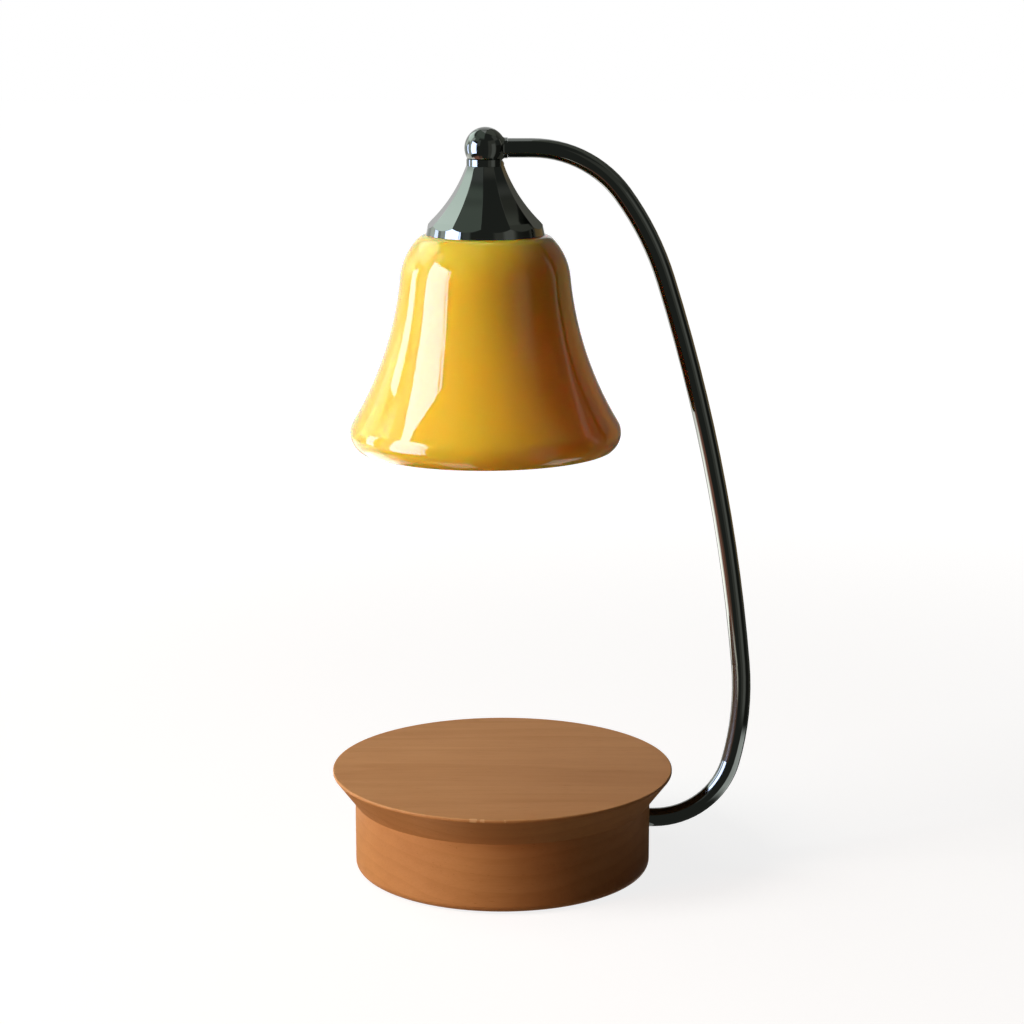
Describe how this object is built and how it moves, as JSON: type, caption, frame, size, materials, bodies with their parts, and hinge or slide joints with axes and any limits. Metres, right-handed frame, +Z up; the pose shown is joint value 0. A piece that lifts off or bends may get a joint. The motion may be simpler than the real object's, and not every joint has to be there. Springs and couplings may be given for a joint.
{
  "type": "candle warmer lamp",
  "caption": "Table lamp that melts a candle from above: a halogen bulb in an amber glass bell hangs from a bent arm over a round turned wood base, on a ball swivel.",
  "frame": {"origin": "middle of the foot pad's lower face, on the axis of the round base", "axes": "+Z up, +X from the base's axis towards the side where the arm leaves it, +Y to the back, where the cord inlet is"},
  "size_m": [0.1794, 0.146, 0.3177],
  "materials": {
    "wood": "satin",
    "dark_chrome": "polished",
    "amber_glass": "polished",
    "clear_glass": "polished",
    "reflector": "polished",
    "ceramic": "matte",
    "brass": "polished",
    "pin_steel": "polished",
    "zinc_steel": "satin",
    "ballast_iron": "matte",
    "white_metal": "gloss",
    "felt": "matte",
    "black_plastic": "matte",
    "white_plastic": "matte",
    "silicone": "matte",
    "wire_insulation": "matte"
  },
  "bodies": {
    "stand": {"wood_base": "wood", "foot_pad": "felt", "bottom_plate": "black_plastic", "bottom_screws": "zinc_steel", "ballast_plate": "ballast_iron", "ballast_screws": "zinc_steel", "arm_clamp": "zinc_steel", "arm_clamp_screws": "zinc_steel", "arm_grub_screw": "zinc_steel", "cord_bush": "black_plastic", "cord_anchor": "black_plastic", "cord_strap": "black_plastic", "cord_strap_screws": "zinc_steel", "terminal_block": "white_plastic", "terminal_inserts": "brass", "terminal_screws": "zinc_steel", "terminal_fixing_screw": "zinc_steel", "arm_tube": "dark_chrome", "arm_wires": "wire_insulation"},
    "ball": {"knuckle_ball": "dark_chrome", "ball_cap": "dark_chrome"},
    "socket": {"socket_cup": "dark_chrome"},
    "head": {"swivel_stem": "zinc_steel", "canopy": "dark_chrome", "pressure_washer": "zinc_steel", "spring_washer": "zinc_steel", "tension_nut": "zinc_steel", "housing_nut": "zinc_steel", "holder_housing": "white_metal", "lamp_holder": "ceramic", "holder_contacts": "brass", "holder_screws": "zinc_steel", "head_wires": "wire_insulation", "upper_gasket": "silicone", "glass_shade": "amber_glass", "lower_gasket": "silicone", "shade_ring": "white_metal"},
    "bulb": {"bulb_pins": "pin_steel", "bulb_cap": "ceramic", "bulb_reflector": "reflector", "bulb_lens": "clear_glass", "bulb_capsule": "clear_glass"}
  },
  "joints": [
    {"name": "ball_roll", "type": "hinge", "parent": "stand", "child": "ball", "pos_m": [-0.0069, 0, 0.30907], "axis": [1, 0, 0], "range_deg": [-25, 25]},
    {"name": "head_tilt", "type": "hinge", "parent": "ball", "child": "socket", "pos_m": [-0.0069, 0, 0.30907], "axis": [0, 1, 0], "range_deg": [-10, 35]},
    {"name": "head_swivel", "type": "hinge", "parent": "socket", "child": "head", "pos_m": [-0.0069, 0, 0.30907], "axis": [0, 0, 1], "range_deg": [-150, 150]},
    {"name": "bulb_twist", "type": "hinge", "parent": "head", "child": "bulb", "pos_m": [-0.0069, 0, 0.30907], "axis": [0, 0, 1], "range_deg": [0, 25]}
  ]
}
